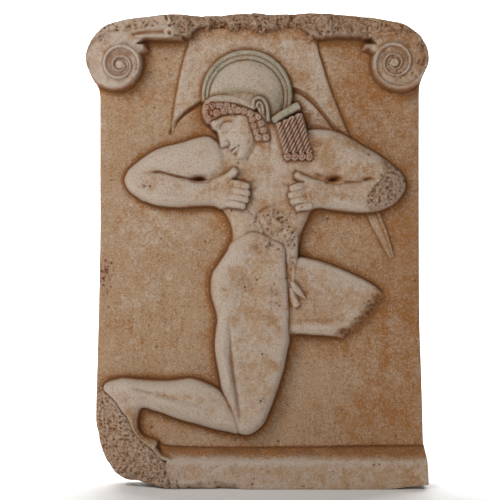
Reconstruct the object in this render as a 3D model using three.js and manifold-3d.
// Carved stone stele: a running figure in low relief under a crown with two volutes, on a plinth
// ledge, all one block. Millimetres, +Z up, carved side towards -Y, origin under the block's centre.
import * as THREE from "three";
import { mergeVertices } from "three/addons/utils/BufferGeometryUtils.js";
import Module from "manifold-3d";

const wasm = await Module();
wasm.setup();

// Driving dimensions
const depth = 135;
const relief = 45; // highest carving above the flat ground of the panel
const top = 1020;
const shaft = { left: -339, right: 349, footLeft: -347, footRight: 358 };
const underside = { left: -190, right: 275 }; // flat stretch that it stands on
const leftVolute = { x: -307.5, z: 919, radius: 60, side: -1 };
const rightVolute = { x: 311.5, z: 919, radius: 56, side: 1 };
const volute = { height: 40, coil: 5, turns: 1.75, inner: 12, eye: 10 };
const crown = { height: 38, lower: 963, broken: 982, breakLeft: -142, breakRight: 130 };
const moulding = { lower: 969, upper: 987, radius: 6 };
const ledge = { left: -212, front: 64, back: 84, height: 38 };
const crestHeight = 5;
const helmet = { x: -20, z: 845, radius: 96, band: 11, height: 36, rim: 816 };
const guard = { left: [36, 784], right: [88, 817], halfWidth: 13, height: 38 };
const curl = { radius: 8, height: 33 };
const braid = { count: 4, halfWidth: 8, step: 15, height: 33, top: [48, 782], bottom: [65, 718], stepUp: 8 };
const face = { x: -36, z: 702, length: 120, tilt: 35, height: 30, cheek: 39 }; // x, z at the chin
const finger = { halfWidth: 8.5, height: 44, spread: 15.5 };

const groundY = -depth / 2 + relief;
const buried = 24; // how far each form runs into the block
const smallest = 0.3; // features smaller than this are dropped where forms meet

// One closed geometry as a solid that can be joined and cut
function solid(geometry) {
  const plain = geometry.index ? geometry.toNonIndexed() : geometry.clone();
  plain.deleteAttribute("normal");
  plain.deleteAttribute("uv");
  const merged = mergeVertices(plain, 1e-3);
  return new wasm.Manifold(
    new wasm.Mesh({
      numProp: 3,
      vertProperties: new Float32Array(merged.attributes.position.array),
      triVerts: new Uint32Array(merged.index.array),
    }),
  );
}

// A shape drawn in the X-Z plane, standing from inside the block to a height above the ground
function plate(shape, height, edge = 0, from = -buried, curveSegments = 12) {
  const geometry = new THREE.ExtrudeGeometry(shape, {
    depth: height - from - 2 * edge,
    curveSegments,
    bevelEnabled: edge > 0,
    bevelThickness: edge,
    bevelSize: edge,
    bevelOffset: -edge,
    bevelSegments: 2,
  });
  geometry.translate(0, 0, from + edge);
  geometry.rotateX(Math.PI / 2);
  geometry.translate(0, groundY, 0);
  return solid(geometry);
}

function corners(points) {
  return new THREE.Shape(points.map(([x, z]) => new THREE.Vector2(x, z)));
}

// An ellipse carried along a smooth line over the ground, closed by round ends.
// A station is [x, z, half width, height above the ground].
function limb(stations, steps = 8, sides = 14) {
  const smooth = (points) => new THREE.CatmullRomCurve3(points, false, "centripetal");
  const line = smooth(stations.map(([x, z]) => new THREE.Vector3(x, 0, z)));
  const girth = smooth(stations.map(([, , w, h], i) => new THREE.Vector3(w, h, 40 * i)));
  const rings = [];
  const addRing = (t, roundness) => {
    const tangent = line.getTangent(t);
    const { x: w, y: h } = girth.getPoint(t);
    const slide = (t > 0.5 ? 1 : -1) * roundness * w * 0.6;
    const at = line.getPoint(t).addScaledVector(tangent, slide);
    const scale = Math.sqrt(1 - roundness ** 2);
    rings.push({ at, tangent, w: w * scale, h: h * scale });
  };
  const ends = [0.45, 0.8, 0.97];
  ends.toReversed().forEach((roundness) => addRing(0, roundness));
  for (let i = 0; i <= steps; i++) addRing(i / steps, 0);
  ends.forEach((roundness) => addRing(1, roundness));

  const positions = rings.flatMap(({ at, tangent, w, h }) =>
    Array.from({ length: sides }, (_, s) => {
      const angle = (2 * Math.PI * (s + 0.5)) / sides;
      const across = w * Math.cos(angle);
      const out = Math.sin(angle) * (Math.sin(angle) > 0 ? h : buried);
      return [at.x + tangent.z * across, groundY - out, at.z - tangent.x * across];
    }).flat(),
  );
  return solid(skin(positions, rings.length, sides));
}

// Rings of points joined into one closed body, with a fan over each end
function skin(positions, ringCount, sides) {
  const index = [];
  for (let r = 0; r < ringCount - 1; r++) {
    for (let s = 0; s < sides; s++) {
      const here = r * sides + s;
      const next = r * sides + ((s + 1) % sides);
      index.push(here, here + sides, next, next, here + sides, next + sides);
    }
  }
  const last = (ringCount - 1) * sides;
  for (let s = 1; s < sides - 1; s++) {
    index.push(0, s, s + 1, last, last + s + 1, last + s);
  }
  const geometry = new THREE.BufferGeometry();
  geometry.setAttribute("position", new THREE.Float32BufferAttribute(positions, 3));
  geometry.setIndex(index);
  return geometry;
}

// A low round boss
function boss(x, z, radius, height, sides = 8) {
  return limb([[x, z - radius * 0.3, radius, height], [x, z + radius * 0.3, radius, height]], 1, sides);
}

// The whole block's outline, with the volutes' round sides, a worn crown and a lost lower corner
function blockOutline() {
  const { x: lx, z: lz, radius: lr } = leftVolute;
  const { x: rx, z: rz, radius: rr } = rightVolute;
  const outline = new THREE.Shape();
  outline.moveTo(underside.left, 0);
  outline.lineTo(underside.right, 0);
  outline.lineTo(366, 9);
  outline.lineTo(364, ledge.front);
  outline.lineTo(shaft.footRight, 101);
  outline.lineTo(351, 318);
  outline.lineTo(shaft.right, 425);
  outline.lineTo(shaft.right, rz - rr);
  outline.absarc(rx, rz, rr, -0.7, 0.75, false);
  const wornTop = [
    [336, 981], [306, 996], [242, 1008], [156, 1015], [66, 1019], [-3, top], [-63, 1015], [-123, 1012],
    [-187, 1016], [-273, 1006], [-318, 993], [-345, 974],
  ];
  outline.splineThru(wornTop.map(([x, z]) => new THREE.Vector2(x, z)));
  outline.absarc(lx, lz, lr, 2.5, 3.85, false);
  outline.lineTo(shaft.left, lz - lr - 6);
  outline.lineTo(shaft.left, 532);
  outline.lineTo(shaft.footLeft, 140);
  outline.lineTo(-342, 118);
  outline.lineTo(-329, 67);
  outline.lineTo(-305, 34);
  outline.lineTo(-278, 17);
  outline.lineTo(-235, 9);
  return outline;
}

function block() {
  return plate(blockOutline(), 0, 0, -(depth - relief), 10);
}

// Crown band from volute to volute, its middle broken back to a ragged underside
function crownBand() {
  const { breakLeft, breakRight, lower, broken, height } = crown;
  const band = corners([
    [leftVolute.x, lower], [breakLeft, lower - 8], [breakLeft + 3, broken - 4], [-60, broken + 4],
    [30, broken - 6], [80, broken + 3], [breakRight - 3, broken - 2], [breakRight, lower],
    [rightVolute.x, lower], [330, 980], [306, 992], [242, 1004], [156, 1011], [66, 1015], [-3, 1016],
    [-63, 1011], [-123, 1008], [-187, 1012], [-273, 1002], [-316, 989],
  ]);
  const parts = [plate(band, height, 4)];
  for (const z of [moulding.lower, moulding.upper]) {
    parts.push(limb([[-270, z, moulding.radius, height + 4], [-195, z, moulding.radius, height + 4]], 1, 8));
    parts.push(limb([[252, z, moulding.radius, height + 4], [300, z, moulding.radius, height + 4]], 1, 8));
  }
  return parts;
}

// A disc with a raised coil: the coil's radius shrinks evenly with the angle
function voluteRoll({ x, z, radius, side }) {
  const disc = new THREE.Shape();
  disc.absarc(x, z, radius - 2, 0, 2 * Math.PI, false);
  const steps = 34;
  const wall = 4.5;
  const edge = (offset) => (_, i) => {
    const t = i / (steps - 1);
    const angle = Math.PI / 2 + side * 2 * Math.PI * volute.turns * t;
    const r = THREE.MathUtils.lerp(radius - wall - 3, volute.inner + wall, t) + offset;
    return new THREE.Vector2(x + r * Math.cos(angle), z + r * Math.sin(angle));
  };
  const outer = Array.from({ length: steps }, edge(wall));
  const inner = Array.from({ length: steps }, edge(-wall)).reverse();
  return [
    plate(disc, volute.height - volute.coil, 3, -buried, 18),
    plate(new THREE.Shape([...outer, ...inner]), volute.height),
    boss(x, z, volute.eye, volute.height, 10),
  ];
}

// Plinth ledge with a sloping top: its section carried along the foot, cut to the ledge's front view
function plinthLedge() {
  const { left, front, back, height } = ledge;
  const view = corners([
    [left, back + 20], [left - 10, 30], [underside.left - 20, 4], [underside.left, 0], [underside.right, 0],
    [366, 9], [shaft.footRight + 4, back + 20],
  ]);
  const inside = groundY + buried;
  const section = corners([
    [inside, 0], [inside, back], [groundY, back], [groundY - height, front], [groundY - height, 0],
  ]);
  const run = new THREE.ExtrudeGeometry(section, { depth: 800, bevelEnabled: false });
  run.translate(0, 0, -400);
  const along = new THREE.Vector3(1, 0, 0);
  const outward = new THREE.Vector3(0, 1, 0);
  const up = new THREE.Vector3(0, 0, 1);
  run.applyMatrix4(new THREE.Matrix4().makeBasis(outward, up, along));
  return plate(view, height).intersect(solid(run));
}

// Low crest behind the helmet: a fan with two horns, and its end below the right elbow
function crest() {
  const left = new THREE.Shape();
  left.moveTo(-144, 985);
  left.quadraticCurveTo(-172, 900, -187, 762);
  left.quadraticCurveTo(-165, 812, -110, 834);
  left.lineTo(-20, 900);
  left.lineTo(-20, 985);
  const right = new THREE.Shape();
  right.moveTo(-20, 985);
  right.lineTo(-20, 880);
  right.lineTo(60, 855);
  right.quadraticCurveTo(110, 852, 169, 769);
  right.lineTo(203, 751);
  right.quadraticCurveTo(158, 860, 125, 985);
  const fringe = corners([[88, 824], [132, 790], [176, 767], [176, 755], [100, 757]]);
  const end = corners([[228, 597], [259, 539], [285, 492], [296, 496], [280, 554], [262, 600]]);
  return [left, right, fringe, end].map((shape) => plate(shape, crestHeight));
}

// Dome with a raised double band, cut off along the brow
function helmetDome() {
  const { x, z, radius, band, height, rim } = helmet;
  const dome = new THREE.SphereGeometry(1, 24, 12);
  dome.rotateX(Math.PI / 2);
  dome.scale(radius - 2, height, radius - 2);
  dome.translate(x, groundY, z);
  const outer = new THREE.Shape();
  outer.absarc(x, z, radius, -0.25, Math.PI + 0.15, false);
  outer.absarc(x, z, radius - band, Math.PI + 0.15, -0.25, true);
  const brow = corners([
    [x - 120, rim - 120], [x + 130, rim - 120], [x + 130, rim - 22], [x - 120, rim + 12],
  ]);
  return solid(dome).add(plate(outer, 17, 0, -buried, 16)).subtract(plate(brow, 60));
}

// Bowed head in profile: forehead, nose, lips and chin on thirds of the face's length
function headForm() {
  const { x, z, length, tilt, height, cheek } = face;
  const angle = THREE.MathUtils.degToRad(tilt);
  const third = length / 3;
  const place = (forward, up) => [
    x - (forward * Math.cos(angle) + up * Math.sin(angle)) * third,
    z + (up * Math.cos(angle) - forward * Math.sin(angle)) * third,
  ];
  const profile = [
    [-2.1, 3.4], [-2.1, 1.2], [-1.1, 0.25], [-0.35, -0.05], [0.05, 0.05], [0.15, 0.32],
    [0.06, 0.52], [0.18, 0.7], [0.2, 0.9], [0.12, 1.02], [0.42, 1.12], [0.38, 1.32], [0.2, 1.9], [0.22, 2.1],
    [0.1, 3.1],
  ];
  const station = (forward, up, w, h) => [...place(forward, up), w * third, h];
  return [
    plate(corners(profile.map(([forward, up]) => place(forward, up))), height - 8, 3),
    limb([
      station(-0.95, 2.6, 1.1, height + 6), station(-0.9, 1.5, 0.95, cheek),
      station(-0.62, 0.62, 0.6, height),
    ], 6),
    limb([station(0.12, 1.75, 0.2, height - 4), station(0.2, 1.25, 0.24, height - 1)], 2, 8),
    limb([station(-0.25, 0.3, 0.35, height - 2), station(-0.2, 0.25, 0.3, height - 2)], 1, 8),
    limb([station(-0.42, 1.92, 0.22, height + 6), station(-0.3, 1.9, 0.2, height + 5)], 1, 8),
  ];
}

// Curls under the helmet's rim in two rows, and a strand down the temple
function curls() {
  const row = (from, to, count) =>
    Array.from({ length: count }, (_, i) => {
      const t = i / (count - 1);
      const x = THREE.MathUtils.lerp(from[0], to[0], t);
      return [x, THREE.MathUtils.lerp(from[1], to[1], t) + 8 * Math.sin(Math.PI * t)];
    });
  const places = [
    ...row([-112, 800], [-8, 800], 8),
    ...row([-104, 816], [-20, 814], 7),
    ...row([-4, 786], [3, 752], 4),
    ...row([8, 778], [16, 752], 3),
  ];
  return places.map(([x, z]) => boss(x, z, curl.radius, curl.height, 6));
}

// Plaits falling behind the neck, each ending in a knot, below the helmet's neck guard
function plaits() {
  const bar = (from, to, { halfWidth, height }) =>
    limb([[...from, halfWidth, height], [...to, halfWidth, height]], 2, 8);
  const parts = [bar(guard.left, guard.right, guard)];
  for (let i = 0; i < braid.count; i++) {
    const x = i * braid.step;
    const upper = [braid.top[0] + x * 0.8, braid.top[1] + i * braid.stepUp];
    const lower = [braid.bottom[0] + x, braid.bottom[1]];
    parts.push(bar(upper, lower, braid));
    parts.push(boss(...lower, braid.halfWidth + 1.5, braid.height + 3, 8));
  }
  return parts;
}

// A closed hand, thumb up: direction 1 has its fingertips to the right
function hand(x, z, direction) {
  const parts = [limb([[x - direction * 22, z + 2, 27, 42], [x, z, 27, 43]], 2, 10)];
  for (let i = 0; i < 4; i++) {
    const fingerZ = z + 22 - i * finger.spread;
    const reach = [12, 15, 12, 5][i] * direction;
    parts.push(limb([
      [x - direction * 16, fingerZ + 3, finger.halfWidth, finger.height],
      [x + reach, fingerZ, finger.halfWidth * 0.9, finger.height - 3],
    ], 2, 8));
  }
  parts.push(limb([
    [x - direction * 28, z + 14, 12, 42],
    [x - direction * 14, z + 36, 9.5, 41],
    [x - direction * 4, z + 54, 8, 36],
  ], 4, 8));
  return parts;
}

function figure() {
  const torso = [[32, 740, 100, 26], [36, 690, 112, 30], [36, 645, 108, 30], [20, 590, 92, 28],
    [18, 545, 72, 27], [20, 515, 76, 27], [22, 470, 74, 27]];
  const hip = [[10, 528, 56, 28], [-2, 488, 72, 36], [-14, 447, 82, 42], [-16, 404, 83, 44],
    [-8, 361, 80, 45], [-11, 307, 77, 44], [-16, 253, 69, 42], [-12, 206, 55, 39], [-7, 165, 40, 36]];
  const farThigh = [[55, 412, 76, 26], [103, 411, 78, 30], [145, 407, 76, 31], [188, 401, 68, 29],
    [222, 404, 50, 27], [243, 410, 30, 24]];
  const nearShin = [[-7, 152, 34, 34], [-54, 161, 41, 38], [-101, 174, 45, 38], [-155, 188, 46, 36],
    [-209, 195, 36, 33], [-262, 206, 30, 30], [-296, 213, 24, 28]];
  const foot = [[-315, 207, 17, 27], [-293, 192, 24, 27], [-275, 163, 18, 26], [-266, 138, 10, 24],
    [-257, 117, 9, 23], [-242, 101, 9, 22], [-222, 93, 8, 20]];
  const neck = [[2, 790, 28, 22], [14, 745, 32, 24], [26, 700, 36, 26]];
  const leftUpperArm = [[-75, 700, 46, 28], [-127, 708, 43, 33], [-174, 705, 35, 34], [-217, 694, 30, 33],
    [-252, 668, 31, 32]];
  const leftForearm = [[-252, 657, 30, 32], [-209, 644, 34, 37], [-155, 637, 31, 37], [-101, 632, 26, 36],
    [-60, 636, 26, 38]];
  const rightUpperArm = [[110, 724, 48, 28], [156, 720, 45, 32], [199, 707, 38, 33], [242, 686, 34, 32],
    [284, 655, 32, 32]];
  const rightForearm = [[284, 642, 30, 32], [233, 628, 33, 36], [188, 625, 33, 36], [145, 627, 28, 35],
    [108, 629, 26, 37]];
  return [
    limb(torso, 12, 18), limb(hip, 14, 18), limb(farThigh, 8, 18), limb(nearShin, 10, 16), limb(foot, 8, 12),
    limb(neck, 4), limb(leftUpperArm), limb(leftForearm), limb(rightUpperArm), limb(rightForearm),
    ...hand(-38, 630, 1), ...hand(94, 623, -1),
  ];
}

const whole = [
  block(), ...crownBand(), ...voluteRoll(leftVolute), ...voluteRoll(rightVolute), plinthLedge(), ...crest(),
  ...figure(), ...headForm(), helmetDome(), ...curls(), ...plaits(),
].reduce((joined, piece) => joined.add(piece)).simplify(smallest);

const joined = whole.getMesh();
const geometry = new THREE.BufferGeometry();
geometry.setAttribute("position", new THREE.Float32BufferAttribute(joined.vertProperties, joined.numProp));
geometry.setIndex(Array.from(joined.triVerts));
geometry.computeVertexNormals();

const stone = new THREE.MeshStandardMaterial({ color: 0xb7936b, roughness: 0.85, metalness: 0 });
const stele = new THREE.Mesh(geometry, stone);
stele.name = "stele";

const part = new THREE.Group();
part.add(stele);
export default part;
